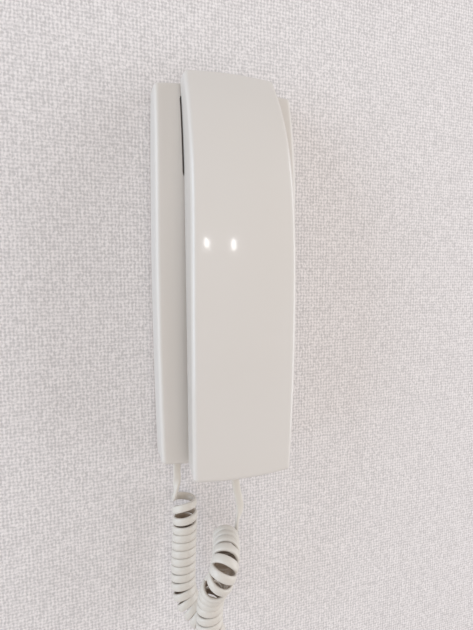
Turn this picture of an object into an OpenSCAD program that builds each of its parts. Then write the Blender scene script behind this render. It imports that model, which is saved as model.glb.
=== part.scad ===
// Wall interphone station: a curved handset hung on a shallow wall base, joined by a coiled cord.
// The wall is the plane Y = 0, the front faces -Y and +Z is up.
// The origin is midway between the two wall-screw holes, on the back of the base.

/* [Base housing] */
// Width of the base at half height
base_w = 80; // [77:1:90]
// Height of the base along its middle
base_h = 210; // [204:1:225]
// Depth of the base at its thickest
base_d = 22; // [21.5:0.5:25]
// Depth of the base at its lower end
foot_d = 20.5; // [19:0.5:21.5]
// Depth of the base at its upper end
head_d = 13; // [12:0.5:15]
// Length over which the upper end curves back to the wall
head_run = 60; // [55:1:66]
// Rise of each long side's curve
side_rise = 1.4; // [0.4:0.2:3]
// Rise of each end's curve
end_rise = 2; // [0.6:0.2:4]
// Rounding of the base's front edges
base_round = 3; // [2.8:0.1:4]
// Wall of both housings
wall = 2.2; // [1.8:0.1:2.5]
// Gap between the cover's rim and the wall
rim_gap = 0.3; // [0.1:0.1:0.8]

/* [Back plate] */
// Thickness of the back plate
plate_t = 2.4; // [2:0.1:3.2]
// Gap between the back plate's edge and the cover
plate_gap = 0.3; // [0.2:0.1:0.6]
// Distance between the two wall-screw holes
screw_pitch = 83.5; // [80:0.5:88]
// Diameter of a wall-screw hole
screw_hole = 4.5; // [4:0.1:5.5]
// Width of the opening that the wall wires come through
entry_w = 20; // [12:1:24]
// Height of the opening that the wall wires come through
entry_h = 16; // [10:1:18]

/* [Handset housing] */
// Width of the handset
handset_w = 49.6; // [48:0.2:54]
// Distance from the wall to the handset's front at its thickest
handset_d = 52.8; // [50:0.2:58]
// Distance from the wall to the front at the mouth end
chin_d = 48.6; // [46:0.2:50]
// Distance from the wall to the front at the ear end
brow_d = 21.5; // [20.5:0.5:25]
// Height of the thickest place
belly_y = -10; // [-20:1:0]
// Power of the curve from there to the ear end
brow_power = 3.2; // [2.6:0.1:3.6]
// Crown of the front across its width
crown = 1; // [0.4:0.1:2]
// Rise of each end's curve
cap_rise = 1.1; // [0.4:0.1:2]
// Rounding of the handset's edges
handset_round = 3; // [2.8:0.1:4]
// Rise of the handset's upper end above the base's
brow_rise = 3.4; // [2:0.2:5]
// Step in from the base's lower end to the handset's
chin_step = 1.5; // [0.5:0.5:3]
// Gap between base and handset where the base bends
seat_gap = 1.2; // [0.8:0.1:2]
// Further gap at the mouth end
chin_lift = 2.6; // [1:0.2:4]
// Gap round the handset's rear panel
panel_gap = 0.15; // [0.1:0.05:0.3]

/* [Wells and bosses] */
// Width of the ear well
ear_well_w = 50.8; // [50.4:0.2:54]
// Height of the ear well
ear_well_h = 46; // [45:0.5:48]
// Step from the base's upper end to the ear well
ear_well_step = 6.5; // [5:0.5:8]
// Distance from the wall to the ear well's floor
ear_floor = 8.5; // [7:0.5:9]
// Width of the mouth well
mouth_well_w = 46; // [44:1:48]
// Height of the mouth well
mouth_well_h = 36; // [34:1:38]
// Step from the base's lower end to the mouth well
mouth_well_step = 8; // [6:1:10]
// Distance from the wall to the mouth well's floor
mouth_floor = 10.5; // [9:0.5:11]
// Rounding of the wells' corners
well_round = 4; // [3:0.5:5]
// Gap beside and below a boss in its well
boss_side = 3.8; // [3:0.2:4.4]
// Room above a boss, used as the handset lifts off
boss_lift = 4; // [3.5:0.5:5]
// Gap between a boss's face and the well's floor
boss_face = 3.5; // [2:0.5:4]

/* [Receiver and microphone] */
// Diameter of the receiver capsule
receiver_dia = 34; // [30:0.5:35]
// Thickness of the receiver capsule
receiver_t = 9; // [7:0.5:10]
// Thickness of the foam ring under the receiver
gasket_t = 1.5; // [1:0.1:2]
// Width of the foam ring
gasket_w = 4.5; // [3:0.5:6]
// Diameter of the microphone capsule
mic_dia = 9.7; // [8:0.1:10]
// Thickness of the microphone capsule
mic_t = 6.7; // [5:0.1:7]
// Wall of the microphone's rubber boot
boot_wall = 1.6; // [1.2:0.1:2]
// Diameter of a sound hole over the receiver
ear_hole = 2.4; // [2:0.1:3]
// Diameter of the ring of sound holes
ear_ring = 13; // [12:1:18]
// Number of sound holes in the ring
ear_holes = 6; // [5:1:8]
// Diameter of a sound hole under the microphone
mouth_hole = 1.6; // [1.2:0.1:2]
// Depth of the dish in the ear boss
dish_depth = 1.2; // [0.8:0.1:1.4]

/* [Hook switch] */
// Height of the hook lever's pin
pin_y = 8; // [6:1:10]
// Distance from the wall to the pin's middle
pin_d = 14.5; // [14:0.1:15]
// Diameter of the pin
pin_dia = 2.6; // [2:0.1:3]
// Running gap between pin and lever
pin_gap = 0.05; // [0.02:0.01:0.1]
// Width of the lever
lever_w = 7; // [5:0.5:8]
// Length of the lever from its pin to its nose
lever_l = 17; // [15:0.5:18]
// Radius of the lever's nose
nose_r = 2.8; // [2:0.1:3]
// Gap between nose and handset when hung up
nose_gap = 0.4; // [0.3:0.1:0.6]
// Gap between the lever and its lugs and slot
lever_gap = 0.6; // [0.4:0.1:1]
// Thickness of the lugs that hold the pin
lug_t = 2.4; // [2:0.1:3]

/* [Circuit board] */
// Width of the board
board_w = 64; // [60:1:66]
// Height of the board
board_h = 66; // [62:1:68]
// Thickness of the board
board_t = 1.6; // [1.2:0.1:1.8]
// Height of the posts under the board
post_h = 4.6; // [4:0.1:5]
// Inset of the board's screws from its edges
board_inset = 4; // [3.5:0.5:5]
// Diameter of the call sounder
sounder_dia = 28; // [24:1:30]
// Thickness of the call sounder
sounder_t = 7.5; // [6:0.5:8]
// Number of sound slots over the sounder
sound_slots = 6; // [4:1:7]
// Pitch of the sound slots
slot_pitch = 4; // [3.6:0.1:4.4]
// Width of a sound slot
slot_w = 1.8; // [1.4:0.1:2]

/* [Screws and cord] */
// Diameter of the small screws
screw_dia = 2.6; // [2.2:0.1:3]
// Diameter of a screw's head
head_dia = 5; // [4.6:0.1:5.4]
// Height of a screw's head
screw_head = 1.8; // [1.4:0.1:2]
// Width of the flat cord
cord_w = 4.4; // [3.8:0.1:4.8]
// Outer diameter of the cord's coil
coil_dia = 14.5; // [13:0.5:16]
// Diameter of a cord bushing's neck
relief_dia = 7; // [6:0.5:8]
// Height of a cord bushing's lip outside its housing
relief_lip = 0.4; // [0.2:0.1:1]

/* [Hidden] */
$fn = 48;

eps = 0.01;
skin_fn = 24;

// ---- Profiles, as distances from the wall at a height y ----

half_h = base_h / 2;
bend_y = half_h - head_run;
head_drop = base_d - head_d;
head_r = (head_run * head_run + head_drop * head_drop) / (2 * head_drop);
chin_y = chin_step - half_h;
brow_y = half_h + brow_rise;

function base_front(y) = y < bend_y
    ? base_d - (base_d - foot_d) * (bend_y - y) / (bend_y + half_h)
    : base_d - head_r + sqrt(head_r * head_r - pow(y - bend_y, 2));

function handset_back(y) = y < bend_y
    ? base_d + seat_gap + chin_lift * (bend_y - y) / (bend_y + half_h)
    : base_d - head_r + sqrt(pow(head_r + seat_gap, 2) - pow(y - bend_y, 2));

function handset_front(y) = y < belly_y
    ? handset_d - (handset_d - chin_d) * pow((belly_y - y) / (belly_y - chin_y), 2)
    : handset_d - (handset_d - brow_d) * pow((y - belly_y) / (brow_y - belly_y), brow_power);

// Evenly spaced values, both ends included
function steps(low, high, count) = [for (i = [0:count]) low + (high - low) * i / count];

// ---- Outlines ----

// Corner half sizes of the base's outline, set in by a distance
function base_corner(inset) = [base_w / 2 - side_rise - inset, half_h - end_rise - inset];

// Heights at which the base's skin is laid out, closer where it curves
base_rows = let (top = base_corner(base_round)[1])
    concat([for (y = steps(-top, bend_y, 4)) if (y < bend_y) y], steps(bend_y, top, 7));

// Middles of the rounded edge all round the base
base_edge = let (c = base_corner(base_round)) concat(
    [for (y = base_rows, side = [-1, 1]) [side * (c[0] + side_rise * (1 - pow(y / c[1], 2))), y]],
    [for (t = steps(-1, 1, 6), end = [-1, 1]) [c[0] * t, end * (c[1] + end_rise * (1 - t * t))]]
);

// A plate's outline with curved sides and ends and rounded corners
function plate_outline(half_w, half_l, side, end, r) = let (
    right = [for (t = steps(-1, 1, 8)) [half_w + side * (1 - t * t), (half_l - r) * t]],
    corner = [for (a = [22.5:22.5:67.5]) [half_w - r + r * cos(a), half_l - r + r * sin(a)]],
    top = [for (t = steps(1, -1, 8)) [(half_w - r) * t, half_l + end * (1 - t * t)]],
    corner_left = [for (i = [len(corner) - 1:-1:0]) [-corner[i][0], corner[i][1]]],
    upper = concat(right, corner, top, corner_left)
) concat(upper, [for (p = upper) -p]);

// ---- Shared shapes, in the face frame: x across, y up, z out of the wall ----

module face() { rotate([90, 0, 0]) children(); }

module rounded_rect(w, h, r) {
    square([w - 2 * r, h], center = true);
    square([w, h - 2 * r], center = true);
    for (x = [-1, 1], y = [-1, 1]) translate([x * (w / 2 - r), y * (h / 2 - r)]) circle(r);
}

// A block with rounded corners that stands from depth low to depth high
module pad(w, h, r, low, high) {
    translate([0, 0, low]) linear_extrude(high - low) rounded_rect(w, h, r);
}

// Everything nearer the wall than a profile, across a width
module behind(heights, depths, w) {
    ends = [[heights[len(heights) - 1], -eps], [heights[0], -eps]];
    rotate([90, 0, 90]) linear_extrude(w, center = true)
        polygon(concat([for (i = [0:len(heights) - 1]) [heights[i], depths[i]]], ends));
}

// Screw with its head's underside at the origin, shank down
module screw(length) {
    cylinder(d = head_dia, h = screw_head);
    translate([0, 0, -length]) cylinder(d = screw_dia, h = length);
}

// Tube swept along a path of points; flat is a direction that the path never takes
module sweep(path, r, sides, flat) {
    last = len(path) - 1;
    rings = [for (i = [0:last]) let (
        ahead = path[min(i + 1, last)] - path[max(i - 1, 0)],
        t = ahead / norm(ahead),
        u0 = cross(t, flat),
        u = u0 / norm(u0),
        v = cross(t, u)
    ) for (k = [0:sides - 1]) path[i] + r * (cos(360 * k / sides) * u + sin(360 * k / sides) * v)];
    walls = [for (i = [0:last - 1], k = [0:sides - 1], half = [0, 1]) let (
        n = (k + 1) % sides,
        a = i * sides + k,
        c = (i + 1) * sides + n
    ) half == 0 ? [a, (i + 1) * sides + k, c] : [a, c, i * sides + n]];
    start = [for (k = [0:sides - 1]) k];
    end = [for (k = [sides - 1:-1:0]) last * sides + k];
    polyhedron(rings, concat(walls, [start], [end]), convexity = 8);
}

// ---- Base ----

ear_well_y = half_h - ear_well_step - ear_well_h / 2;
mouth_well_y = mouth_well_step + mouth_well_h / 2 - half_h;
board_d = plate_t + post_h;
board_top = board_d + board_t;
entry_x = -20;
entry_y = -screw_pitch / 2 - entry_h / 2 + 2;

// The base's outer form, or its hollow when the radius is smaller by the wall
module base_skin(r, low) {
    hull() for (p = base_edge) translate([p[0], p[1], 0]) {
        translate([0, 0, base_front(p[1]) - base_round]) sphere(r, $fn = skin_fn);
        translate([0, 0, low]) cylinder(r = r, h = 1, $fn = skin_fn);
    }
}

module behind_base_front(back) {
    heights = concat([-half_h], steps(bend_y, half_h, 10));
    behind(heights, [for (y = heights) base_front(y) - back], base_w);
}

module well_block(y, w, h, low, grow) {
    translate([0, y, 0]) pad(w + 2 * grow, h + 2 * grow, well_round + grow, low - grow, base_d + 1);
}

module wells(grow) {
    well_block(ear_well_y, ear_well_w, ear_well_h, ear_floor, grow);
    well_block(mouth_well_y, mouth_well_w, mouth_well_h, mouth_floor, grow);
}

seat_w = 3;
seat_l = 12;
seat_h = 6;
seat_ys = [-70, 0, 70];
relief_inset = 11;
relief_x = relief_inset - base_w / 2;
relief_d = 11;
relief_flat = 1.2;
collar_dia = relief_dia + 3;
case_x = 0;
case_d = 6;
case_block = 9;
sound_y = -17;
slot_l = 24;
lug_w = pin_dia + 4;
nose_y = pin_y + lever_l;
hook_slot_h = 2 * (nose_r + lever_gap) + 3.2;

// Ribs inside the cover that stand on the back plate
module cover_seats() {
    for (y = seat_ys, side = [-1, 1]) let (c = base_corner(wall))
        translate([side * (c[0] + side_rise * (1 - pow(y / c[1], 2)) - seat_w / 2 + wall / 4), y, 0])
            pad(seat_w + wall / 2, seat_l, 0.8, plate_t, plate_t + seat_h);
}

// Two lugs under the cover's front that hold the hook lever's pin
module lugs() {
    for (side = [-1, 1]) translate([side * (lever_w / 2 + lever_gap + lug_t / 2), pin_y, pin_d])
        rotate([0, 90, 0]) {
            cylinder(d = lug_w, h = lug_t, center = true);
            translate([-base_d / 4, 0, 0]) cube([base_d / 2, lug_w, lug_t], center = true);
        }
}

module base_cover() {
    color("linen") face() difference() {
        union() {
            difference() {
                base_skin(base_round, rim_gap);
                base_skin(base_round - wall, -2);
            }
            intersection() {
                union() {
                    wells(wall);
                    lugs();
                }
                behind_base_front(wall / 2);
            }
            cover_seats();
        }
        wells(0);
        for (i = [0:sound_slots - 1])
            translate([0, sound_y + slot_pitch * (i - (sound_slots - 1) / 2), 0])
                pad(slot_l, slot_w, slot_w / 2 - eps, board_top + sounder_t, base_d + 1);
        translate([0, nose_y, 0])
            pad(lever_w + 2 * lever_gap, hook_slot_h, 1, base_d - 2 * wall, base_d + 1);
        translate([0, pin_y, pin_d]) rotate([0, 90, 0]) cylinder(d = pin_dia, h = base_w / 2, center = true);
        end_hole(relief_x, relief_d, relief_dia, collar_dia);
        end_hole(case_x, case_d, screw_dia + 0.6, head_dia + 0.6);
    }
}

// Height of the base's lower end beside its middle
function foot_edge(x) = -half_h + end_rise * pow(x / (base_w / 2 - side_rise), 2);

// Hole up through the lower end, with a flat round seat on its outside
module end_hole(x, d, bore, seat) {
    translate([x, foot_edge(x) - 2, d]) rotate([-90, 0, 0]) {
        cylinder(d = bore, h = 2 + 2 * wall);
        cylinder(d = seat, h = 2 + relief_flat);
    }
}

// Places the children at the board's four screws, at a depth
module at_board_screws(depth) {
    for (x = [-1, 1], y = [-1, 1])
        translate([x * (board_w / 2 - board_inset), y * (board_h / 2 - board_inset), depth]) children();
}

// Back plate with the board's posts and the block that the case screw bites in
module base_back() {
    c = base_corner(wall + plate_gap);
    case_y = foot_edge(case_x) + wall + plate_gap;
    color("gainsboro") face() difference() {
        union() {
            linear_extrude(plate_t) polygon(plate_outline(c[0], c[1], side_rise, end_rise, 1));
            at_board_screws(0) cylinder(d = head_dia + 1, h = board_d);
            translate([case_x, case_y + case_block / 2, 0])
                pad(case_block, case_block, 1, 0, mouth_floor - wall - plate_gap);
        }
        for (y = [-1, 1]) translate([0, y * screw_pitch / 2, -1]) cylinder(d = screw_hole, h = plate_t + 2);
        translate([entry_x, entry_y, 0]) pad(entry_w, entry_h, 2, -1, plate_t + 1);
        at_board_screws(plate_t) cylinder(d = screw_dia, h = post_h + 1);
        translate([case_x, case_y - 1, case_d]) rotate([-90, 0, 0]) cylinder(d = screw_dia, h = case_block + 2);
    }
}

module circuit_board() {
    color("seagreen") face() difference() {
        translate([0, 0, board_d]) linear_extrude(board_t) rounded_rect(board_w, board_h, 2);
        at_board_screws(board_d - 1) cylinder(d = screw_dia, h = board_t + 2);
    }
}

module board_screws() {
    color("silver") face() at_board_screws(board_top) screw(board_t + post_h - 0.4);
}

module case_screw() {
    color("silver") face() translate([case_x, foot_edge(case_x) + relief_flat, case_d])
        rotate([90, 0, 0]) screw(case_block);
}

transformer_at = [-20, 18, board_top];
core_w = 17;
core_h = 9;
core_t = 8.5;
bobbin_w = 12;
bobbin_h = 14;
bobbin_t = 8;

// Iron core raised off the board, with the winding on its bobbin through it
module speech_transformer() {
    color("dimgray") face() translate(transformer_at) {
        pad(core_w, core_h, 0.5, 1, 1 + core_t);
        pad(bobbin_w, bobbin_h, 1, 0, bobbin_t);
    }
}

capacitors_at = [[20, 24, board_top], [20, 15, board_top], [-24, 1, board_top]];
capacitor_dia = 6.3;
capacitor_h = 8;
capacitor_lip = 0.8;

module board_capacitors() {
    color("midnightblue") face() for (at = capacitors_at) translate(at) {
        cylinder(d = capacitor_dia - 0.6, h = capacitor_h);
        translate([0, 0, capacitor_lip]) cylinder(d = capacitor_dia, h = capacitor_h - 2 * capacitor_lip);
    }
}

terminals_w = 26;
terminals_h = 12;
terminals_t = 9;
terminals_gap = 2.8;
terminals_at = [20, mouth_well_y + mouth_well_h / 2 + wall + terminals_gap + terminals_h / 2, plate_t];
ways = [-8, 0, 8];
wire_bore = 3;

// Block with a clamp screw and a wire hole for each of the wall's wires
module terminal_block() {
    color("whitesmoke") face() translate(terminals_at) difference() {
        pad(terminals_w, terminals_h, 1, 0, terminals_t);
        for (x = ways) translate([x, 0, terminals_t / 2]) {
            cylinder(d = head_dia + 0.4, h = terminals_t);
            translate([0, -terminals_h / 2 - 1, -0.9]) rotate([-90, 0, 0])
                cylinder(d = wire_bore, h = terminals_h / 2);
        }
    }
}

module terminal_screws() {
    color("silver") face() translate(terminals_at) for (x = ways)
        translate([x, 0, terminals_t / 2]) cylinder(d = head_dia, h = terminals_t / 4);
}

sounder_port = 6;

module call_sounder() {
    color("black") face() translate([0, sound_y, board_top]) difference() {
        union() {
            cylinder(d = sounder_dia, h = sounder_t - 1);
            cylinder(d = sounder_dia - 3, h = sounder_t);
        }
        translate([0, 0, sounder_t - 2]) cylinder(d = sounder_port, h = 3);
    }
}

// ---- Hook switch ----

switch_w = 6.4;
switch_l = 12;
switch_t = 4;
plunger_w = 2.4;
plunger_l = 3;
spring_dia = 4.4;
spring_wire = 0.5;
spring_turns = 5;
arm_t = 2.2;
arm_low = pin_d - 0.5;
nose_d = handset_back(nose_y) - nose_gap - nose_r;
spring_y = pin_y + 6;

module hook_lever() {
    color("ivory") face() translate([0, pin_y, 0]) difference() {
        rotate([90, 0, 90]) linear_extrude(lever_w, center = true) {
            translate([0, pin_d]) circle(d = pin_dia + 3.4);
            translate([0, arm_low]) square([lever_l + nose_r, arm_t]);
            translate([lever_l - nose_r, arm_low]) square([2 * nose_r, nose_d - arm_low]);
            translate([lever_l, nose_d]) circle(nose_r);
        }
        translate([0, 0, pin_d]) rotate([0, 90, 0])
            cylinder(r = pin_dia / 2 + pin_gap, h = lever_w + 2, center = true);
    }
}

module hook_pin() {
    color("silver") face() translate([0, pin_y, pin_d]) rotate([0, 90, 0])
        cylinder(d = pin_dia, h = lever_w + 2 * (lever_gap + lug_t), center = true);
}

module hook_spring() {
    rise = arm_low - board_top - spring_wire;
    turns = [for (a = steps(0, spring_turns, spring_turns * 12)) let (w = a * 360)
        [cos(w) * (spring_dia - spring_wire) / 2, sin(w) * (spring_dia - spring_wire) / 2,
            spring_wire / 2 + rise * a / spring_turns]];
    color("silver") face() translate([0, spring_y, board_top]) sweep(turns, spring_wire / 2, 6, [0, 0, 1]);
}

module hook_switch() {
    color("black") face() translate([0, nose_y - 1, board_top]) {
        pad(switch_w, switch_l, 0.6, 0, switch_t);
        pad(plunger_w, plunger_l, 0.8, switch_t, arm_low - board_top - 0.3);
    }
}

// ---- Handset ----

handset_mid = (brow_y + chin_y) / 2;
handset_half = (brow_y - chin_y) / 2;
ear_boss_h = ear_well_h - boss_lift;
ear_boss_w = ear_well_w - 2 * boss_side;
ear_boss_y = ear_well_y - boss_lift / 2;
ear_face = ear_floor + boss_face;
mouth_boss_h = mouth_well_h - boss_lift - 1;
mouth_boss_w = mouth_well_w - 2 * boss_side;
mouth_boss_y = mouth_well_y - (boss_lift - 1) / 2;
mouth_face = mouth_floor + boss_face;
boss_round = well_round - 1;
collar_gap = 0.15;
collar_wall = 1.2;
collar_h = 4;
dish_dia = 26;
dish_r = (dish_dia * dish_dia / 4 + dish_depth * dish_depth) / (2 * dish_depth);
mouth_holes_x = [-4, 0, 4];
cord_exit_x = 0;
cord_exit_d = 32;
joint_screw_l = 12;
joint_ys = [bend_y - 6, mouth_boss_y + mouth_boss_h / 2 + 12];

// Middles of the rounded edges and crown of the handset
handset_rows = steps(chin_y + handset_round, brow_y - handset_round, 14);
handset_grid = [for (i = [0:14], s = [-1, -0.5, 0, 0.5, 1]) let (
    end = i == 0 ? 1 : i == 14 ? -1 : 0,
    y = handset_rows[i] + end * cap_rise * s * s
) [s * (handset_w / 2 - handset_round), y, handset_front(y) + crown * (1 - s * s) - handset_round]];

// The first and last rows of that grid
handset_rim = [for (i = [0:4]) each [handset_grid[i], handset_grid[len(handset_grid) - 1 - i]]];

module handset_skin(r, low) {
    hull() {
        for (p = handset_grid) translate(p) sphere(r, $fn = skin_fn);
        for (p = handset_rim) translate([p[0], p[1], low]) cylinder(r = r, h = 1, $fn = skin_fn);
    }
}

module behind_handset_back(out) {
    heights = concat([chin_y - 1], steps(bend_y, brow_y + 1, 10));
    behind(heights, [for (y = heights) handset_back(y) + out], handset_w + 2);
}

module handset_front() {
    color("linen") face() difference() {
        union() {
            difference() {
                handset_skin(handset_round, head_d);
                handset_skin(handset_round - wall, head_d - 5);
            }
            difference() {
                for (y = joint_ys) translate([0, y, handset_back(y)])
                    cylinder(d = head_dia + 2, h = handset_front(y) - handset_back(y) - wall / 2);
                behind_handset_back(wall);
            }
        }
        behind_handset_back(0);
        for (y = joint_ys) translate([0, y, handset_back(y)]) cylinder(d = screw_dia, h = joint_screw_l + 2);
        translate([cord_exit_x, chin_y - 2, cord_exit_d]) rotate([-90, 0, 0]) {
            cylinder(d = relief_dia, h = 2 + 2 * wall);
            cylinder(d = collar_dia, h = 2 + relief_flat);
        }
    }
}

module boss_block(y, w, h, face_d) {
    translate([0, y, 0]) pad(w, h, boss_round, face_d, base_d + seat_gap + chin_lift + wall);
}

// The inside of a boss, with a round collar left standing on its floor
module boss_hollow(y, w, h, face_d, seat_dia) {
    translate([0, y, 0]) difference() {
        pad(w - 2 * wall, h - 2 * wall, boss_round, face_d + wall, handset_d);
        translate([0, 0, face_d]) difference() {
            cylinder(d = seat_dia + 2 * (collar_gap + collar_wall), h = wall + collar_h);
            cylinder(d = seat_dia + 2 * collar_gap, h = handset_d);
        }
    }
}

module handset_rear() {
    half_w = handset_w / 2 - wall - panel_gap;
    half_l = handset_half - cap_rise - wall - panel_gap;
    color("linen") face() difference() {
        union() {
            difference() {
                translate([0, handset_mid, 0]) linear_extrude(handset_d)
                    polygon(plate_outline(half_w, half_l, 0, cap_rise, handset_round - wall));
                behind_handset_back(0);
                difference() {
                    cube([2 * handset_w, 2 * base_h, 3 * handset_d], center = true);
                    behind_handset_back(wall);
                }
            }
            intersection() {
                union() {
                    boss_block(ear_boss_y, ear_boss_w, ear_boss_h, ear_face);
                    boss_block(mouth_boss_y, mouth_boss_w, mouth_boss_h, mouth_face);
                }
                behind_handset_back(wall / 2);
            }
        }
        boss_hollow(ear_boss_y, ear_boss_w, ear_boss_h, ear_face, receiver_dia);
        boss_hollow(mouth_boss_y, mouth_boss_w, mouth_boss_h, mouth_face, mic_dia + 2 * boot_wall);
        translate([0, ear_boss_y, ear_face + dish_depth - dish_r]) sphere(dish_r, $fn = 96);
        translate([0, ear_boss_y, ear_face - 1]) {
            cylinder(d = ear_hole, h = wall + 2);
            for (i = [1:ear_holes]) rotate(360 * i / ear_holes) translate([ear_ring / 2, 0, 0])
                cylinder(d = ear_hole, h = wall + 2);
        }
        for (x = mouth_holes_x) translate([x, mouth_boss_y, mouth_face - 1])
            cylinder(d = mouth_hole, h = wall + 2);
        for (y = joint_ys) translate([0, y, 0]) {
            cylinder(d = screw_dia + 0.4, h = handset_d);
            cylinder(d = head_dia + 0.6, h = handset_back(y) + wall - 1);
        }
    }
}

module receiver_gasket() {
    color("darkslategray") face() translate([0, ear_boss_y, ear_face + wall]) difference() {
        cylinder(d = receiver_dia, h = gasket_t);
        translate([0, 0, -1]) cylinder(d = receiver_dia - 2 * gasket_w, h = gasket_t + 2);
    }
}

module receiver_capsule() {
    color("silver") face() translate([0, ear_boss_y, ear_face + wall + gasket_t]) {
        cylinder(d = receiver_dia, h = receiver_t - 3);
        cylinder(d = receiver_dia - 10, h = receiver_t);
    }
}

module microphone_boot() {
    color("black") face() translate([0, mouth_boss_y, mouth_face + wall]) difference() {
        cylinder(d = mic_dia + 2 * boot_wall, h = mic_t + boot_wall);
        translate([0, 0, boot_wall]) cylinder(d = mic_dia, h = mic_t + 1);
        translate([0, 0, -1]) cylinder(d = mic_dia - 2, h = boot_wall + 2);
    }
}

module microphone_capsule() {
    color("silver") face() translate([0, mouth_boss_y, mouth_face + wall + boot_wall])
        cylinder(d = mic_dia, h = mic_t);
}

module handset_screws() {
    color("silver") face() for (y = joint_ys)
        translate([0, y, handset_back(y) + wall - 1]) rotate([180, 0, 0]) screw(joint_screw_l);
}

// ---- Cord ----

// Bushing with its seat at the origin, its neck inside the housing and its lip along +z
module relief() {
    lip = relief_flat + relief_lip;
    rotate_extrude() polygon([
        [0, -2 * wall], [relief_dia / 2, -2 * wall], [relief_dia / 2, 0], [collar_dia / 2, 0],
        [collar_dia / 2, lip - 0.3], [collar_dia / 2 - 0.3, lip], [0, lip]
    ]);
}

module base_cord_relief() {
    color("linen") face() translate([relief_x, foot_edge(relief_x) + relief_flat, relief_d])
        rotate([90, 0, 0]) relief();
}

module handset_cord_relief() {
    color("linen") face() translate([cord_exit_x, chin_y + relief_flat, cord_exit_d])
        rotate([90, 0, 0]) relief();
}

// The cord's route, in the object's own frame
base_lead = [
    [relief_x, -relief_d, foot_edge(relief_x) - relief_lip], [-29, -11, -108], [-29, -11, -112],
    [-29, -11, -116], [-29.5, -11, -120], [-30, -11, -124], [-30, -11, -126.5]
];
coil_route = [
    [-25, -11, -127], [-25, -11.5, -130.5], [-25, -13, -136], [-25.5, -13.5, -147], [-26.5, -15, -164],
    [-27, -16, -174], [-26.8, -17, -180.5], [-25, -18.5, -187], [-21, -21.5, -192.5],
    [-16.5, -26.5, -197], [-13.5, -32.5, -199.5], [-14, -39, -198.5], [-16, -44, -193.5],
    [-18, -46, -185.5], [-18.5, -46.5, -177], [-18, -47.5, -168.5], [-17.5, -50.5, -161.5],
    [-16.8, -55, -155.5], [-15.2, -58.5, -149.5], [-13, -57.5, -143.5], [-10.8, -52, -140.5],
    [-9, -45.5, -140], [-7.5, -39.5, -140], [-6, -33, -138.5]
];
handset_lead = [
    [1.6, -32, -134], [2.5, -32, -131], [2.8, -32, -127], [1.8, -32, -121], [0.6, -32, -115],
    [0, -32, -109], [cord_exit_x, -cord_exit_d, chin_y - relief_lip]
];
sideways = [1, 0, 0];

module cord_lead_base() { color("linen") sweep(base_lead, cord_w / 2, 8, sideways); }
module cord_coil() { color("linen") sweep(coil_route, coil_dia / 2, 12, sideways); }
module cord_lead_handset() { color("linen") sweep(handset_lead, cord_w / 2, 8, sideways); }

base_back();
base_cover();
circuit_board();
speech_transformer();
board_capacitors();
terminal_block();
terminal_screws();
call_sounder();
hook_switch();
hook_pin();
hook_spring();
hook_lever();
board_screws();
case_screw();
base_cord_relief();
handset_front();
handset_rear();
receiver_capsule();
receiver_gasket();
microphone_capsule();
microphone_boot();
handset_screws();
handset_cord_relief();
cord_lead_base();
cord_coil();
cord_lead_handset();
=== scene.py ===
import math

import bmesh
import bpy
import numpy as np
from mathutils import Matrix, Vector


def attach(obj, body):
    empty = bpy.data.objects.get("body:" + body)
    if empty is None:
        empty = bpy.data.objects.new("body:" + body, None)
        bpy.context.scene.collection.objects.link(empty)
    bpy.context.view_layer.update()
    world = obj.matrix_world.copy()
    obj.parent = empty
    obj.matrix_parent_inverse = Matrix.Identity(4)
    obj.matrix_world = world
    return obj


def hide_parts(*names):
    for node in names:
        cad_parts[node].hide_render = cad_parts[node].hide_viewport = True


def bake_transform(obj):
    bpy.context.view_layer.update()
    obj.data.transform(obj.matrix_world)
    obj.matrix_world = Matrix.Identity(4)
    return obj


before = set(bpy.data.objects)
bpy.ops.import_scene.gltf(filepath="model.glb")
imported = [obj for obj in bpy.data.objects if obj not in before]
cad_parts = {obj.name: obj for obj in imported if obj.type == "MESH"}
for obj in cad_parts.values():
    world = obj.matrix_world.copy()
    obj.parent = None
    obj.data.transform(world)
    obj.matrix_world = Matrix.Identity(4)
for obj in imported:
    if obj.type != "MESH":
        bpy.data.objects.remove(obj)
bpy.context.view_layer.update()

bl_info = {
    "name": "Wall interphone station",
    "version": (1, 0, 0),
    "blender": (4, 5, 0),
    "location": "View3D > Sidebar > Station",
    "description": "Smooth housings, a curly cord and finishes for a wall interphone station",
    "category": "Add Mesh",
}

MM = 0.001

# Directions round the coil's route in which it starts, to the left, and ends, to the right
FIRST_TURN, LAST_TURN = math.radians(90), math.radians(-90)

# How far, in millimetres, cutting blocks and the hollow's lugs stand past the base's front
PAST_FRONT, PAST_HOLLOW = 2, 1

# Angle in degrees past which an edge stays sharp, on the housings and on the cord
HOUSING_SHARP, CORD_SHARP = 35, 50

# Faces across and up the front of the base and of the handset
BASE_GRID, HANDSET_GRID = (36, 110), (30, 120)

# Rings that turn round a moulding's edge, rings down its wall, and directions between its sides at a corner
EDGE_TURNS, WALL_RINGS, CORNER_TURNS = 6, 6, 6

# Spacing in millimetres of the points along the coil's route, along the leads and along the finished cord
ROUTE_STEP, LEAD_STEP, CORD_STEP = 0.2, 0.3, 1.35

# Points round the cord's section, and the power that squares the section off
RIBBON_POINTS, RIBBON_POWER = 16, 0.7

# Share of a sharp gloss over each housing's plastic
COATS = {"Handset plastic": 0.5, "Base plastic": 0}

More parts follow.
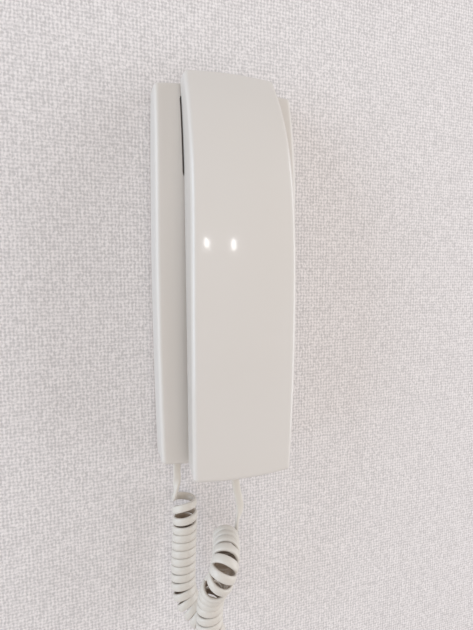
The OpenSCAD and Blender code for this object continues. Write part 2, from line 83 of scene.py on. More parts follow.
# The cord's route, the same as the solids': each point is x, y, z in millimetres.
BASE_LEAD = [
    (-29, -11, -104.27), (-29, -11, -108), (-29, -11, -112), (-29, -11, -116), (-29.5, -11, -120),
    (-30, -11, -124), (-30, -11, -126.5),
]
COIL_ROUTE = [
    (-25, -11, -127), (-25, -11.5, -130.5), (-25, -13, -136), (-25.5, -13.5, -147), (-26.5, -15, -164),
    (-27, -16, -174), (-26.8, -17, -180.5), (-25, -18.5, -187), (-21, -21.5, -192.5),
    (-16.5, -26.5, -197), (-13.5, -32.5, -199.5), (-14, -39, -198.5), (-16, -44, -193.5),
    (-18, -46, -185.5), (-18.5, -46.5, -177), (-18, -47.5, -168.5), (-17.5, -50.5, -161.5),
    (-16.8, -55, -155.5), (-15.2, -58.5, -149.5), (-13, -57.5, -143.5), (-10.8, -52, -140.5),
    (-9, -45.5, -140), (-7.5, -39.5, -140), (-6, -33, -138.5),
]
HANDSET_LEAD = [
    (1.6, -32, -134), (2.5, -32, -131), (2.8, -32, -127), (1.8, -32, -121), (0.6, -32, -115),
    (0, -32, -109), (0, -32, -103.9),
]


def length(name, text, size_mm):
    """A length property with its default in millimetres."""
    return bpy.props.FloatProperty(name=name, description=text, default=size_mm * MM, min=0,
                                   precision=4, subtype="DISTANCE", unit="LENGTH")


def block(name, text, sizes_mm):
    """A block's middle across and up, width, height, corner and lowest depth, in millimetres."""
    return bpy.props.FloatVectorProperty(name=name, description=text, default=[v * MM for v in sizes_mm],
                                         size=6, precision=4, unit="LENGTH")


def colour(name, text, rgb):
    """A colour property."""
    return bpy.props.FloatVectorProperty(name=name, description=text, default=rgb, size=3,
                                         min=0, max=1, subtype="COLOR")


class StationHousings(bpy.types.PropertyGroup):
    """Sizes of the two moulded housings: those of the solids, with a flared front and crisper edges."""
    base_w: length("Base width", "Width of the base at its corners", 77.2)
    base_h: length("Base height", "Height of the base along its middle", 210)
    base_d: length("Base depth", "Depth of the base at its thickest", 22)
    foot_d: length("Foot depth", "Depth of the base at its lower end", 20.5)
    head_d: length("Head depth", "Depth of the base at its upper end", 13)
    head_run: length("Head run", "Length over which the upper end curves back", 60)
    side_rise: length("Side rise", "Rise of the curve of each long side", 1.4)
    end_rise: length("End rise", "Rise of the curve of each end", 2)
    rim_gap: length("Rim gap", "Gap between the cover's rim and the wall", 0.3)
    handset_w: length("Handset width", "Width of the handset at its back", 49.6)
    flare_w: length("Flare width", "Width of the handset's front at its widest", 54.4)
    flare_rise: length("Flare rise", "How much narrower each side of the front is, a flare run away", 2.5)
    flare_drop: length("Flare drop", "How far below the middle the front is widest", 30)
    flare_run: length("Flare run", "Length over which the front's sides curve in by the flare rise", 135)
    handset_d: length("Handset depth", "Distance from the wall to the handset's front", 52.8)
    chin_d: length("Chin depth", "Distance from the wall to the front at the mouth end", 48.6)
    brow_d: length("Brow depth", "Distance from the wall to the front at the ear end", 21.5)
    chin_step: length("Chin step", "Step in from the base's lower end to the handset's", 1.5)
    brow_rise: length("Brow rise", "Rise of the handset's upper end above the base's", 3.4)
    belly_drop: length("Belly drop", "How far below the middle the handset is thickest", 10)
    brow_power: bpy.props.FloatProperty(name="Brow power", default=3.2, min=1, max=4,
                                        description="Power of the curve up to the ear end")
    crown: length("Crown", "Crown of the front across its width", 1)
    cap_rise: length("Cap rise", "Rise of the curve of the handset's ends", 1.1)
    seat_gap: length("Seat gap", "Gap between base and handset at the bend", 1.2)
    chin_lift: length("Chin lift", "Further gap at the mouth end", 2.6)
    rounding: length("Rounding", "Rounding of the housings' edges, crisper than the solids'", 2.5)
    inner_rounding: length("Inner rounding", "Rounding inside the housings' edges", 0.6)
    wall: length("Wall", "Wall of both housings", 2.2)


class StationOpenings(bpy.types.PropertyGroup):
    """Openings of the base's cover, and the lugs and seats inside it."""
    ear_well: block("Ear well", "Hollow for the handset's ear end", (0, 75.5, 50.8, 46, 4, 8.5))
    mouth_well: block("Mouth well", "Hollow for the handset's mouth end", (0, -79, 46, 36, 4, 10.5))
    lever_slot: block("Lever slot", "Opening for the hook lever's nose", (0, 25, 8.2, 10, 1, 17.6))
    sound_slot: block("Sound slot", "One slot over the sounder, at the row's middle",
                      (0, -17, 24, 1.8, 0.89, 16.1))
    slot_pitch: length("Slot pitch", "Pitch of the sound slots", 4)
    slots: bpy.props.IntProperty(name="Sound slots", description="Number of sound slots", default=6,
                                 min=1)
    lug: block("Lug", "One of the two lugs that hold the lever's pin", (5.3, 8, 2.4, 6.6, 0.6, 11.4))
    seat: block("Seat", "One of the seats along the sides for the back plate", (35.9, 0, 4.4, 12, 0.8, 2.4))
    seat_top: length("Seat top", "Distance from the wall to the seats' tops", 8.4)
    seat_pitch: length("Seat pitch", "Pitch of the seats along a side", 70)


class StationCord(bpy.types.PropertyGroup):
    """Sizes of the flat cord and of its coil."""
    ribbon_w: length("Cord width", "Width of the flat cord", 4.4)
    ribbon_t: length("Cord thickness", "Thickness of the flat cord", 2.2)
    coil_dia: length("Coil diameter", "Outer diameter of the coil", 14.5)
    tight_pitch: length("Tight pitch", "Pitch of the turns that touch", 4.5)
    base_pitch: length("Pitch at the base", "Pitch of the first turns below the base", 7.4)
    loose_pitch: length("Loose pitch", "Pitch of the turns past the reversal", 4.6)
    handset_pitch: length("Pitch at the handset", "Pitch of the last turn before the handset", 12.8)
    reversal: length("Reversal", "Distance of the reversal from the coil's end at the handset", 38)


class StationFinishes(bpy.types.PropertyGroup):
    """Colours of the moulded plastics and of the wall, and the painted shade inside the cord's coil."""
    housing: colour("Housing", "Off-white of the housings", (0.62, 0.577, 0.538))
    aged: colour("Aged", "Tone that the housings yellow to", (0.6, 0.54, 0.475))
    cord: colour("Cord", "Off-white of the cord", (0.61, 0.562, 0.505))
    # Painted shade: a dark brown that stands in for the shade on the cord's faces turned into its coil
    cord_inner_shade: colour("Cord inside", "Tone of the cord inside its coil", (0.36, 0.27, 0.2))
    plaster: colour("Wall", "Wall behind the station", (0.665, 0.625, 0.615))


# ---- Shared shapes ----

def to_world(points):
    """Turns x, height and depth out of the wall, in millimetres, into the frame's metres."""
    p = np.asarray(points, float)
    return np.stack([p[..., 0], -p[..., 2], p[..., 1]], -1) * MM


def unit(v):
    """Vectors divided by their lengths."""
    return v / np.maximum(np.linalg.norm(v, axis=-1, keepdims=True), 1e-12)


def new_object(name, points, blocks, sharp=HOUSING_SHARP, inner=None):
    """A mesh object from points in metres and blocks of faces that have as many corners each.

    inner gives each point's share of a second tone, for a material that reads it; the cord uses it as the
    mask of painted shade inside its coil.
    """
    corners = np.concatenate([b.ravel() for b in blocks])
    counts = np.concatenate([np.full(len(b), b.shape[1]) for b in blocks])
    mesh = bpy.data.meshes.new(name)
    mesh.vertices.add(len(points))
    mesh.vertices.foreach_set("co", np.asarray(points, np.float32).ravel())
    mesh.loops.add(len(corners))
    mesh.loops.foreach_set("vertex_index", corners.astype(np.int32))
    mesh.polygons.add(len(counts))
    mesh.polygons.foreach_set("loop_start", (np.cumsum(counts) - counts).astype(np.int32))
    # For the cord this share is the mask of painted shade inside its coil
    if inner is not None:
        mesh.attributes.new("inner", "FLOAT", "POINT").data.foreach_set("value", inner.astype(np.float32))
    mesh.update(calc_edges=True)
    merged = bmesh.new()
    merged.from_mesh(mesh)
    bmesh.ops.remove_doubles(merged, verts=merged.verts, dist=2e-6)
    bmesh.ops.dissolve_degenerate(merged, edges=merged.edges, dist=1e-6)
    merged.to_mesh(mesh)
    merged.free()
    obj = bpy.data.objects.new(name, mesh)
    bpy.context.scene.collection.objects.link(obj)
    soften(obj, sharp)
    return obj


def soften(obj, sharp):
    """Shades an object smooth except across edges sharper than an angle in degrees."""
    obj.data.shade_smooth()
    obj.data.set_sharp_from_angle(angle=math.radians(sharp))


def strip(grid, start=0):
    """Faces between the rings of a grid of numbered points, closed round each ring."""
    left = start + np.arange(grid[0] * grid[1]).reshape(grid)
    right = np.roll(left, -1, 1)
    return np.stack([left[:-1], left[1:], right[1:], right[:-1]], -1).reshape(-1, 4)


def moulded_rings(core, radius, rim, half_w):
    """The skin of a moulding, as a front patch and rings from its edge down to its rim.

    core is a grid of points, across and up, at the middle of the edge's rounding. The front patch
    is the core moved out by the radius along the normal of the core. Round its boundary, each ring
    is the boundary moved by the radius along a direction that turns from that normal to the
    outward one, and the wall runs straight on to the depth that rim gives at each height, where the
    moulding is no wider than twice half_w.
    """
    across = np.gradient(core, axis=1)
    up = np.gradient(core, axis=0)
    normal = unit(np.cross(across, up))
    patch = core + radius * normal
    last_row, last_col = core.shape[0] - 1, core.shape[1] - 1
    rows, cols = np.arange(last_row + 1), np.arange(last_col + 1)
    sides = [
        (np.zeros_like(cols), cols), (rows, np.full_like(rows, last_col)),
        (np.full_like(cols, last_row), cols[::-1]), (rows[::-1], np.zeros_like(rows)),
    ]
    middles, fronts, outs = [], [], []
    for side in sides:
        line = core[side]
        tangent = unit(np.gradient(line, axis=0)[:, :2])
        middles.append(line)
        fronts.append(normal[side])
        outs.append(np.stack([tangent[:, 1], -tangent[:, 0]], -1))
    loop_middle, loop_front, loop_out = [], [], []
    for k in range(4):
        follow = (k + 1) % 4
        fan = np.linspace(0, 1, CORNER_TURNS + 2)[1:-1, None]
        turned = unit(outs[k][-1] * (1 - fan) + outs[follow][0] * fan)
        loop_middle += [middles[k], np.repeat(middles[k][-1:], CORNER_TURNS, 0)]
        loop_front += [fronts[k], np.repeat(fronts[k][-1:], CORNER_TURNS, 0)]
        loop_out += [outs[k], turned]
    middle = np.concatenate(loop_middle)
    front = np.concatenate(loop_front)
    out = np.concatenate(loop_out)
    out = np.column_stack([out, np.zeros(len(out))])
    corner = np.arccos(np.clip((front * out).sum(-1), -1, 1))[:, None]
    rings = []
    for k in np.linspace(1, 0, EDGE_TURNS + 1):
        way = (np.sin(k * corner) * front + np.sin((1 - k) * corner) * out) / np.sin(corner)
        rings.append(middle + radius * way)
    top = rings[-1]
    foot = top.copy()
    foot[:, 2] = rim(top[:, 1])
    foot[:, 0] = np.clip(foot[:, 0], -half_w, half_w)
    for k in np.linspace(0, 1, WALL_RINGS + 1)[1:]:
        rings.append(top * (1 - k) + foot * k)
    return patch, np.stack(rings)


def front_faces(shape):
    """Faces of a grid of points that is numbered across and then up."""
    index = np.arange(shape[0] * shape[1]).reshape(shape[:2])
    corners = [index[:-1, :-1], index[:-1, 1:], index[1:, 1:], index[1:, :-1]]
    return np.stack(corners, -1).reshape(-1, 4)


def moulded_solid(name, core, radius, rim, half_w):
    """A moulding's outer form as a closed solid with a flat back."""
    patch, rings = moulded_rings(core, radius, rim, half_w)
    first = patch.reshape(-1, 3)
    start = len(first)
    back = start + (len(rings) - 1) * rings.shape[1] + np.arange(rings.shape[1])[::-1]
    points = np.concatenate([first, rings.reshape(-1, 3)])
    faces = [front_faces(patch.shape), strip(rings.shape[:2], start), back[None]]
    return new_object(name, to_world(points), faces)


def moulded_shell(name, core, radius, inner_core, inner_radius, rim, half_w, wall):
    """A moulding with a wall: its outer skin, its inner one and the rim between them."""
    patch, rings = moulded_rings(core, radius, rim, half_w)
    inner_patch, inner_rings = moulded_rings(inner_core, inner_radius, rim, half_w - wall)
    face = front_faces(patch.shape)
    both = np.concatenate([rings, inner_rings[::-1]])
    start = patch.shape[0] * patch.shape[1]
    inner_start = start + both.shape[0] * both.shape[1]
    points = np.concatenate([patch.reshape(-1, 3), both.reshape(-1, 3), inner_patch.reshape(-1, 3)])
    return new_object(name, to_world(points), [
        face, strip(both.shape[:2], start), inner_start + face[:, ::-1]])


def rounded_blocks(name, blocks):
    """Upright blocks with rounded corners: each is middle x, middle y, width, height, corner, low, high.

    The outline is a circle's arc in each corner joined by straight sides, carried from the low
    depth to the high one.
    """
    points, faces, caps, start = [], [], [], 0
    angles = np.radians(np.arange(0, 91, 15))
    for x, y, w, h, r, low, high in blocks:
        outline = np.concatenate([
            np.stack([x + sx * (w / 2 - r) + r * np.cos(angles + turn),
                      y + sy * (h / 2 - r) + r * np.sin(angles + turn)], -1)
            for sx, sy, turn in ((1, 1, 0), (-1, 1, math.pi / 2), (-1, -1, math.pi), (1, -1, -math.pi / 2))])
        count = len(outline)
        for depth in (high, low):
            points.append(np.column_stack([outline, np.full(count, depth)]))
        ring = np.arange(count)
        after = np.roll(ring, -1)
        faces.append(start + np.stack([ring, count + ring, count + after, after], -1))
        caps += [start + ring, start + count + ring[::-1]]
        start += 2 * count
    return new_object(name, to_world(np.concatenate(points)),
                      [np.concatenate(faces)] + [cap[None] for cap in caps])


def cut(target, tool):
    """Cuts the tool out of the target and removes the tool."""
    step = target.modifiers.new("Cut", "BOOLEAN")
    step.operation = "DIFFERENCE"
    step.solver = "EXACT"
    step.object = tool
    graph = bpy.context.evaluated_depsgraph_get()
    done = bpy.data.meshes.new_from_object(target.evaluated_get(graph))
    target.modifiers.clear()
    target.data = done
    bpy.data.objects.remove(tool)


def cubic(t, a, b, slope_a, slope_b):
    """The cubic from a to b with the given slopes at its ends, at the shares t of the way."""
    return ((2 * t**3 - 3 * t**2 + 1) * a + (t**3 - 2 * t**2 + t) * slope_a
            + (3 * t**2 - 2 * t**3) * b + (t**3 - t**2) * slope_b)


def smooth_line(points, step):
    """One smooth curve through points, returned as points evenly spaced along it.

    Between two points it is the cubic whose slope at each end is the slope between that end's
    neighbours.
    """
    p = np.asarray(points, float)
    gap = np.linalg.norm(np.diff(p, axis=0), axis=1)
    at = np.concatenate([[0], np.cumsum(gap)])
    slope = np.gradient(p, at, axis=0)
    per_gap = 40
    t = np.linspace(0, 1, per_gap, endpoint=False)[:, None, None]
    curve = cubic(t, p[:-1], p[1:], slope[:-1] * gap[:, None], slope[1:] * gap[:, None])
    line = np.concatenate([curve.transpose(1, 0, 2).reshape(-1, 3), p[-1:]])
    return even(line, step)


def even(line, step, *others):
    """Points spaced evenly along a line, and other values given along it at the same places."""
    run = np.concatenate([[0], np.cumsum(np.linalg.norm(np.diff(line, axis=0), axis=1))])
    at = np.linspace(0, run[-1], max(int(round(run[-1] / step)), 2) + 1)
    out = [np.stack([np.interp(at, run, v[:, k]) for k in range(v.shape[1])], -1)
           for v in (line,) + others]
    return out if others else out[0]


def along(line):
    """Directions along a line of points."""
    return unit(np.gradient(line, axis=0))


def bridge(start, start_way, end, end_way, count=30):
    """A cubic from one point and direction to another, without its two end points."""
    reach = np.linalg.norm(end - start)
    t = np.linspace(0, 1, count)[1:-1, None]
    return cubic(t, start, end, reach * start_way, reach * end_way)


# ---- Finishes ----

def surface_group():
    """A node group for moulded and satin surfaces: soft mottling, fine grain and uneven gloss."""
    group = bpy.data.node_groups.new("Moulded surface", "ShaderNodeTree")
    face = group.interface
    for name, tone in (("Tone", (0.6, 0.6, 0.6, 1)), ("Aged tone", (0.5, 0.5, 0.5, 1))):
        face.new_socket(name, in_out="INPUT", socket_type="NodeSocketColor").default_value = tone
    for name, value in (("Mottle scale", 20), ("Ageing", 0.4), ("Grain scale", 1500),
                        ("Grain height", 0.00001), ("Roughness", 0.3), ("Unevenness", 0.1)):
        face.new_socket(name, in_out="INPUT", socket_type="NodeSocketFloat").default_value = value
    for name, kind in (("Colour", "NodeSocketColor"), ("Roughness", "NodeSocketFloat"),
                       ("Normal", "NodeSocketVector")):
        face.new_socket(name, in_out="OUTPUT", socket_type=kind)
    add, wire = group.nodes.new, group.links.new
    source, sink = add("NodeGroupInput"), add("NodeGroupOutput")
    where = add("ShaderNodeTexCoord")
    mottle, grain, smear = (add("ShaderNodeTexNoise") for _ in range(3))
    for noise in (mottle, grain, smear):
        wire(where.outputs["Object"], noise.inputs["Vector"])
    wire(source.outputs["Mottle scale"], mottle.inputs["Scale"])
    mottle.inputs["Detail"].default_value = 4
    wire(source.outputs["Grain scale"], grain.inputs["Scale"])
    grain.inputs["Detail"].default_value = 3
    smear.inputs["Scale"].default_value = 130
    smear.inputs["Detail"].default_value = 5
    spread = add("ShaderNodeMapRange")
    spread.inputs["From Min"].default_value = 0.35
    spread.inputs["From Max"].default_value = 0.7
    wire(mottle.outputs["Fac"], spread.inputs["Value"])
    share = add("ShaderNodeMath")
    share.operation = "MULTIPLY"
    wire(spread.outputs["Result"], share.inputs[0])
    wire(source.outputs["Ageing"], share.inputs[1])
    blend = add("ShaderNodeMix")
    blend.data_type = "RGBA"
    wire(share.outputs[0], blend.inputs["Factor"])
    wire(source.outputs["Tone"], blend.inputs["A"])
    wire(source.outputs["Aged tone"], blend.inputs["B"])
    wire(blend.outputs["Result"], sink.inputs["Colour"])
    centre = add("ShaderNodeMath")
    centre.operation = "SUBTRACT"
    centre.inputs[1].default_value = 0.5
    wire(smear.outputs["Fac"], centre.inputs[0])
    gloss = add("ShaderNodeMath")
    gloss.operation = "MULTIPLY_ADD"
    wire(centre.outputs[0], gloss.inputs[0])
    wire(source.outputs["Unevenness"], gloss.inputs[1])
    wire(source.outputs["Roughness"], gloss.inputs[2])
    wire(gloss.outputs[0], sink.inputs["Roughness"])
    bump = add("ShaderNodeBump")
    bump.inputs["Distance"].default_value = 1
    high = add("ShaderNodeMath")
    high.operation = "MULTIPLY"
    wire(grain.outputs["Fac"], high.inputs[0])
    wire(source.outputs["Grain height"], high.inputs[1])
    wire(high.outputs[0], bump.inputs["Height"])
    wire(bump.outputs["Normal"], sink.inputs["Normal"])
    return group


def finish(name, tone, aged=None, metal=0.0, coat=0.0, **values):
    """A material made from the shared surface group, with its values, and a Principled shader.

    Where no aged tone is given, it is the tone darkened a little.
    """
    material = bpy.data.materials.new(name)
    material.use_nodes = True
    tree = material.node_tree
    shader = tree.nodes["Principled BSDF"]
    surface = tree.nodes.new("ShaderNodeGroup")
    surface.node_tree = bpy.data.node_groups.get("Moulded surface") or surface_group()
    surface.inputs["Tone"].default_value = (*tone, 1)
    surface.inputs["Aged tone"].default_value = (*(aged or [0.85 * c for c in tone]), 1)
    for key, value in values.items():
        surface.inputs[key.replace("_", " ").capitalize()].default_value = value
    tree.links.new(surface.outputs["Colour"], shader.inputs["Base Color"])
    tree.links.new(surface.outputs["Roughness"], shader.inputs["Roughness"])
    tree.links.new(surface.outputs["Normal"], shader.inputs["Normal"])
    shader.inputs["Metallic"].default_value = metal
    shader.inputs["Coat Weight"].default_value = coat
    shader.inputs["Coat Roughness"].default_value = 0.08
    shader.inputs["IOR"].default_value = 1.5
    return material


def housing_finish(name):
    """Off-white plastic that has yellowed a little, with the gloss that its name has in COATS."""
    tones = bpy.context.scene.station_finishes
    return bpy.data.materials.get(name) or finish(
        name, tones.housing, tones.aged, coat=COATS[name], mottle_scale=14, ageing=0.2, grain_scale=500,
        grain_height=0.000001, roughness=0.38, unevenness=0.1)


def dress(obj, material):
    """Puts one material in all of an object's slots."""
    slots = obj.data.materials
    if len(slots):
        for k in range(len(slots)):
            slots[k] = material
    else:
        slots.append(material)


# ---- Housings ----

def front_grid(faces):
    """Evenly spaced shares from -1 to 1 across and up a front with that many faces each way."""
    return np.meshgrid(*(np.linspace(-1, 1, count + 1) for count in faces))


def base_core(inset):
    """Points that lie the inset inside the base's outer skin, over its whole front.

    x and the height are the grid's two parameters, each stretched by a parabola that gives the
    sides and ends their rise; the depth falls in a straight line to the foot and on a circle to
    the head.
    """
    p = bpy.context.scene.station_housings
    half_w, half_h = p.base_w / 2 / MM - inset, p.base_h / 2 / MM - p.end_rise / MM - inset
    s, t = front_grid(BASE_GRID)
    x = s * (half_w + p.side_rise / MM * (1 - t**2))
    y = t * (half_h + p.end_rise / MM * (1 - s**2))
    return np.stack([x, y, base_front(y) - inset], -1)


def seat_curve(y, gap, foot_slope):
    """Depth at a height of a line beside the base's front, a gap out from it.

    Below the bend it is a straight line that rises by the foot slope down to the base's end, and
    above it a circle round the middle of the head's own, with the gap added to its radius.
    """
    p = bpy.context.scene.station_housings
    half_h, run, deep = p.base_h / 2 / MM, p.head_run / MM, p.base_d / MM
    bend, drop = half_h - run, deep - p.head_d / MM
    circle = (run**2 + drop**2) / (2 * drop)
    foot = deep + gap + foot_slope * (bend - y) / (bend + half_h)
    head = deep - circle + np.sqrt(np.maximum((circle + gap) ** 2 - (y - bend) ** 2, 0))
    return np.where(y < bend, foot, head)


def base_front(y):
    """Depth of the base's front at a height."""
    p = bpy.context.scene.station_housings
    return seat_curve(y, 0, (p.foot_d - p.base_d) / MM)


def handset_back(y):
    """Depth of the handset's back at a height."""
    p = bpy.context.scene.station_housings
    return seat_curve(y, p.seat_gap / MM, p.chin_lift / MM)


def handset_core(inset):
    """Points that lie the inset inside the handset's outer skin, over its whole front.

    The depth falls from the belly with the square of the distance to the chin and with the brow
    power to the brow, and a parabola across gives the crown. Each long side is a parabola too.
    """
    p = bpy.context.scene.station_housings
    half_h = p.base_h / 2 / MM
    low, high, belly = p.chin_step / MM - half_h, half_h + p.brow_rise / MM, -p.belly_drop / MM
    s, t = front_grid(HANDSET_GRID)
    y = (low + high) / 2 + t * ((high - low) / 2 - inset - p.cap_rise / MM * s**2)
    deep = p.handset_d / MM
    chin = deep - (deep - p.chin_d / MM) * ((belly - y) / (belly - low)) ** 2
    brow = deep - (deep - p.brow_d / MM) * (np.maximum(y - belly, 0) / (high - belly)) ** p.brow_power
    side = p.flare_w / 2 / MM - p.flare_rise / MM * ((y + p.flare_drop / MM) / (p.flare_run / MM)) ** 2
    x = s * (side - inset)
    return np.stack([x, y, np.where(y < belly, chin, brow) + p.crown / MM * (1 - s**2) - inset], -1)


class STATION_OT_cover(bpy.types.Operator):
    """The base's cover: a moulded shell with its wells, slots, lugs and seats"""
    bl_idname = "station.cover"
    bl_label = "Base cover"

    def execute(self, context):
        p, holes = context.scene.station_housings, context.scene.station_openings
        wall, front, inner = p.wall / MM, p.base_d / MM + PAST_FRONT, p.inner_rounding / MM
        cover = moulded_solid("base_shell", base_core(p.rounding / MM), p.rounding / MM,
                              lambda y: np.full_like(y, p.rim_gap / MM), p.base_w / MM)
        hollow = moulded_solid("hollow", base_core(wall + inner), inner,
                               lambda y: np.full_like(y, -PAST_FRONT), p.base_w / MM)
        wells = [[v / MM for v in well] for well in (holes.ear_well, holes.mouth_well)]
        lug, seat = ([v / MM for v in part] for part in (holes.lug, holes.seat))
        kept = [(x, y, w + 2 * wall, h + 2 * wall, c + wall, low - wall, front)
                for x, y, w, h, c, low in wells]
        kept += [(side * lug[0], *lug[1:], p.base_d / MM + PAST_HOLLOW) for side in (-1, 1)]
        kept += [(side * seat[0], k * holes.seat_pitch / MM, *seat[2:], holes.seat_top / MM)
                 for side in (-1, 1) for k in (-1, 0, 1)]
        cut(hollow, rounded_blocks("kept", kept))
        cut(cover, hollow)
        lever, slot = ([v / MM for v in part] for part in (holes.lever_slot, holes.sound_slot))
        cuts = [(*opening, front) for opening in wells + [lever]]
        rows = holes.slot_pitch / MM * (np.arange(holes.slots) - (holes.slots - 1) / 2)
        cuts += [(slot[0], slot[1] + row, *slot[2:], front) for row in rows]
        cut(cover, rounded_blocks("cuts", cuts))
        soften(cover, HOUSING_SHARP)
        dress(cover, housing_finish("Base plastic"))
        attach(cover, "base")
        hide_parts("base_cover")
        return {"FINISHED"}


class STATION_OT_handset(bpy.types.Operator):
    """The handset's front: a long moulded shell with a crowned, curved face"""
    bl_idname = "station.handset"
    bl_label = "Handset shell"

    def execute(self, context):
        p = context.scene.station_housings
        inner, wall = p.inner_rounding / MM, p.wall / MM
        shell = moulded_shell("handset_shell", handset_core(p.rounding / MM), p.rounding / MM,
                              handset_core(wall + inner), inner, handset_back, p.handset_w / 2 / MM, wall)
        dress(shell, housing_finish("Handset plastic"))
        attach(shell, "handset")
        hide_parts("handset_front")
        return {"FINISHED"}


# ---- Cord ----

def coil_line(p):
    """The middle line of the coiled part, and the way its flat side faces.

    The line is the route moved out by the coil's radius along a direction that turns round the
    route once per pitch. The pitch grows towards both ends as a bell curve, and before the
    reversal also where the route bends, so that the turns stay apart on the inside of the bend.
    At the reversal the turning changes its hand, and the turns past it are stretched a little so
    that the last one ends beside the lead.
    """
    base_fade, handset_fade, bend_share, bend_limit, blur = 14, 6, 0.8, 0.85, 30
    route = smooth_line(COIL_ROUTE, ROUTE_STEP)
    way = along(route)
    side = unit(np.cross(way, (1.0, 0.0, 0.0)))
    other = np.cross(way, side)
    run = np.concatenate([[0], np.cumsum(np.linalg.norm(np.diff(route, axis=0), axis=1))])
    left = run[-1] - run
    past = left < p.reversal / MM
    bend = np.linalg.norm(np.gradient(way, run, axis=0), axis=1)
    window = np.hanning(2 * blur + 1)
    bend = np.convolve(np.pad(bend, blur, mode="edge"), window / window.sum(), "valid")
    radius = (p.coil_dia - p.ribbon_t) / 2 / MM
    tight, loose = p.tight_pitch / MM, p.loose_pitch / MM
    pitch = (tight + (loose - tight) * past
             + (p.base_pitch / MM - tight) * np.exp(-(run / base_fade) ** 2)
             + (p.handset_pitch / MM - loose) * np.exp(-(left / handset_fade) ** 2))
    apart = tight / np.maximum(1 - bend_share * bend * radius, bend_limit)
    pitch = np.where(past, pitch, np.maximum(pitch, apart))
    turn = 2 * math.pi * np.diff(run, prepend=0) / pitch
    hand = np.tanh(left - p.reversal / MM)
    rise, fall = np.cumsum(turn * np.maximum(hand, 0)), np.cumsum(turn * np.maximum(-hand, 0))
    whole = FIRST_TURN + rise[-1] - LAST_TURN
    whole -= 2 * math.pi * round((whole - fall[-1]) / (2 * math.pi))
    angle = FIRST_TURN + rise - fall * whole / fall[-1]
    out = np.cos(angle)[:, None] * side + np.sin(angle)[:, None] * other
    return route + radius * out, out


def cord_line(p):
    """The whole cord's middle line, evenly spaced, the way its flat side faces, and its coiled share.

    The leads face away from the wall, and near the coil they twist to face outward as its end
    turns do. The coiled share rises from 0 to 1 over the coil's first and last points.
    """
    ramp = 60
    coil, coil_out = coil_line(p)
    first, last = smooth_line(BASE_LEAD[:-1], LEAD_STEP), smooth_line(HANDSET_LEAD, LEAD_STEP)
    first = np.concatenate([first, bridge(first[-1], along(first)[-1], coil[0], along(coil)[0])])
    last = np.concatenate([bridge(coil[-1], along(coil)[-1], last[0], along(last)[0]), last])
    facing = [twist(first, coil[0], coil_out[0]), coil_out, twist(last, coil[-1], coil_out[-1])]
    place = np.arange(len(coil))
    deep = np.clip(np.minimum(place, place[::-1]) / ramp, 0, 1)
    # The coiled share fades the painted shade inside the coil in and out over the coil's ends
    coiled = np.concatenate([np.zeros(len(first)), deep, np.zeros(len(last))])[:, None]
    line, facing, coiled = even(np.concatenate([first, coil, last]), CORD_STEP,
                                np.concatenate(facing), coiled)
    way = along(line)
    facing = unit(facing - (facing * way).sum(-1, keepdims=True) * way)
    return line, facing, coiled[:, 0]


def twist(lead, end, facing):
    """The way a lead's flat side faces: as given 1 mm from the coil's end, away from the wall at 15 mm."""
    near, reach = 1, 15
    far = np.clip((np.linalg.norm(lead - end, axis=1)[:, None] - near) / (reach - near), 0, 1)
    far = far * far * (3 - 2 * far)
    return facing * (1 - far) + np.array([0.0, -1.0, 0.0]) * far


def cord_finish():
    """Satin off-white plastic with painted shade: darker and browner on the faces turned into the coil, where
    little light reaches.
    """
    tones = bpy.context.scene.station_finishes
    material = finish("Cord plastic", tones.cord, mottle_scale=30, ageing=0.2, grain_scale=1800,
                      grain_height=0.00001, roughness=0.42, unevenness=0.1)
    add, wire = material.node_tree.nodes.new, material.node_tree.links.new
    share, blend = add("ShaderNodeAttribute"), add("ShaderNodeMix")
    # The inner attribute mixes in the painted shade of the coil's inside
    share.attribute_name = "inner"
    blend.data_type = "RGBA"
    wire(share.outputs["Fac"], blend.inputs["Factor"])
    blend.inputs["A"].default_value = (*tones.cord, 1)
    blend.inputs["B"].default_value = (*tones.cord_inner_shade, 1)
    wire(blend.outputs["Result"], material.node_tree.nodes["Group"].inputs["Tone"])
    return material


class STATION_OT_cord(bpy.types.Operator):
    """The flat cord: a straight lead from each housing and the coil that hangs between them.

    Its section is an ellipse squared off by raising the cosine and the sine to a power below 1.
    """
    bl_idname = "station.cord"
    bl_label = "Curly cord"

    def execute(self, context):
        p = context.scene.station_cord
        line, facing, coiled = cord_line(p)
        across = np.cross(along(line), facing)
        turn = np.linspace(0, 2 * math.pi, RIBBON_POINTS, endpoint=False)
        thick = np.sign(np.cos(turn)) * np.abs(np.cos(turn)) ** RIBBON_POWER * p.ribbon_t / 2 / MM
        wide = np.sign(np.sin(turn)) * np.abs(np.sin(turn)) ** RIBBON_POWER * p.ribbon_w / 2 / MM
        rings = line[:, None] + thick[None, :, None] * facing[:, None] + wide[None, :, None] * across[:, None]
        grid = (len(line), RIBBON_POINTS)
        ring = np.arange(RIBBON_POINTS)
        ends = np.stack([ring, (len(line) - 1) * RIBBON_POINTS + ring[::-1]])
        # Painted shade: the ribbon's faces towards the coil's axis take the dark inner tone, scaled by the
        # coiled share
        inward = np.clip(-1.5 * np.cos(turn), 0, 1)
        shade = np.broadcast_to(inward, grid) * coiled[:, None]
        cord = new_object("curly_cord", rings.reshape(-1, 3) * MM, [strip(grid)[:, ::-1], ends],
                          CORD_SHARP, shade.ravel())
        dress(cord, cord_finish())
        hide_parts("cord_lead_base", "cord_coil", "cord_lead_handset")
        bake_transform(cord)
        return {"FINISHED"}


# ---- Carried-over parts ----

